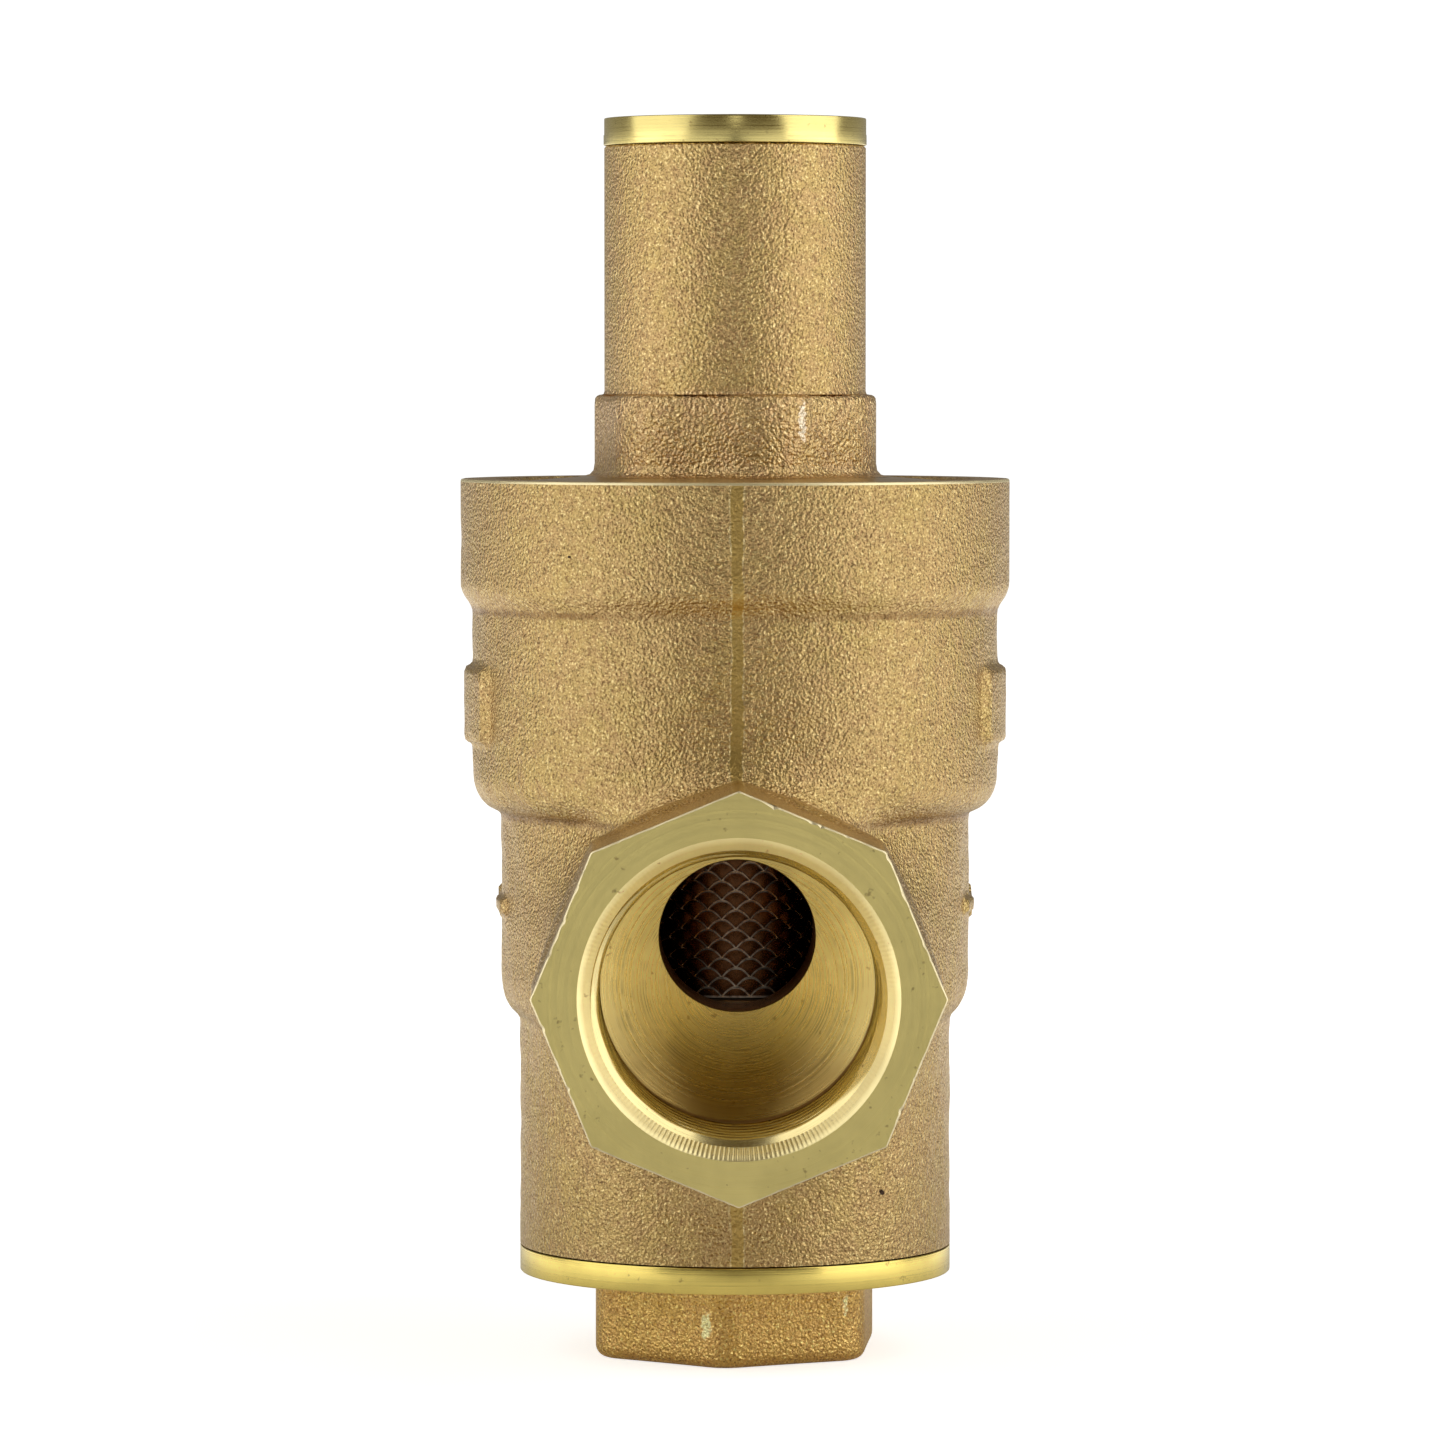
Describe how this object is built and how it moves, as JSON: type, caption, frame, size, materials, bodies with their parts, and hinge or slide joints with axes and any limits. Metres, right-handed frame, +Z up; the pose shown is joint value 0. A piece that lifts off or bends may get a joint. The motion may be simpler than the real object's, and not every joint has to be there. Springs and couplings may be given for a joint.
{
  "type": "pressure reducing valve",
  "caption": "Compact brass piston pressure reducing valve with octagonal threaded ends, a wide cup, a spring tube on top and a hexagonal bottom plug.",
  "frame": {"origin": "middle of the lowest face of the bottom plug, which the valve stands on", "axes": "+Z up along the spring tube, -Y towards the inlet's mouth, +Y towards the outlet's mouth, +X to the right when facing the inlet"},
  "size_m": [0.0392, 0.068, 0.0884],
  "materials": {
    "cast_brass": "sand cast and shot blasted",
    "turned_brass": "machine turned, bright",
    "stainless": "plain turned or drawn",
    "amber_steel": "perforated sheet, tinted dark amber by the brass round it",
    "black_rubber": "moulded",
    "grey_fibre": "pressed fibre sheet",
    "white_plastic": "low-friction plastic"
  },
  "bodies": {
    "casing": {"valve_body": "cast_brass", "bonnet": "cast_brass", "bonnet_gasket": "grey_fibre", "seat_ring": "stainless", "seat_o_ring": "black_rubber", "main_spring": "stainless"},
    "piston_group": {"piston": "turned_brass", "piston_o_ring": "black_rubber", "guide_ring": "white_plastic", "stem": "stainless", "stem_nut": "stainless", "disc_holder": "turned_brass", "disc_seal": "black_rubber", "disc_washer": "stainless", "disc_nut": "stainless"},
    "spring_plate": {"upper_spring_seat": "stainless", "thrust_washer": "white_plastic"},
    "adjuster": {"adjusting_screw": "turned_brass"},
    "cap_seal": {"cap_gasket": "grey_fibre"},
    "cap": {"adjuster_cap": "turned_brass"},
    "strainer": {"strainer_mesh": "amber_steel", "strainer_upper_collar": "amber_steel", "strainer_lower_collar": "amber_steel", "plug_o_ring": "black_rubber"},
    "plug": {"bottom_plug": "turned_brass"}
  },
  "joints": [
    {"name": "piston_lift", "type": "slide", "parent": "casing", "child": "piston_group", "axis": [0, 0, 1], "range_m": [0, 0.0025], "stiffness_N_per_m": 1000, "deforming": ["main_spring"]},
    {"name": "adjuster_feed", "type": "slide", "parent": "casing", "child": "spring_plate", "axis": [0, 0, 1], "range_m": [-0.003, 0.0015], "deforming": ["main_spring"]},
    {"name": "adjuster_turn", "type": "hinge", "parent": "spring_plate", "child": "adjuster", "pos_m": [0, 0, 0.079], "axis": [0, 0, 1], "range_deg": [-1080, 540]},
    {"name": "cap_rise", "type": "slide", "parent": "casing", "child": "cap_seal", "axis": [0, 0, 1], "range_m": [0, 0.004]},
    {"name": "cap_turn", "type": "hinge", "parent": "cap_seal", "child": "cap", "pos_m": [0, 0, 0.0865], "axis": [0, 0, 1], "range_deg": [0, 1440]},
    {"name": "plug_drop", "type": "slide", "parent": "casing", "child": "strainer", "axis": [0, 0, 1], "range_m": [-0.006, 0]},
    {"name": "plug_turn", "type": "hinge", "parent": "strainer", "child": "plug", "pos_m": [0, 0, 0.007], "axis": [0, 0, 1], "range_deg": [-1440, 0]}
  ],
  "couplings": [
    {"joint": "adjuster_feed", "follows": "adjuster_turn", "m_per_rad": 0.00015915},
    {"joint": "cap_rise", "follows": "cap_turn", "m_per_rad": 0.00015915},
    {"joint": "plug_drop", "follows": "plug_turn", "m_per_rad": 0.00023873}
  ]
}
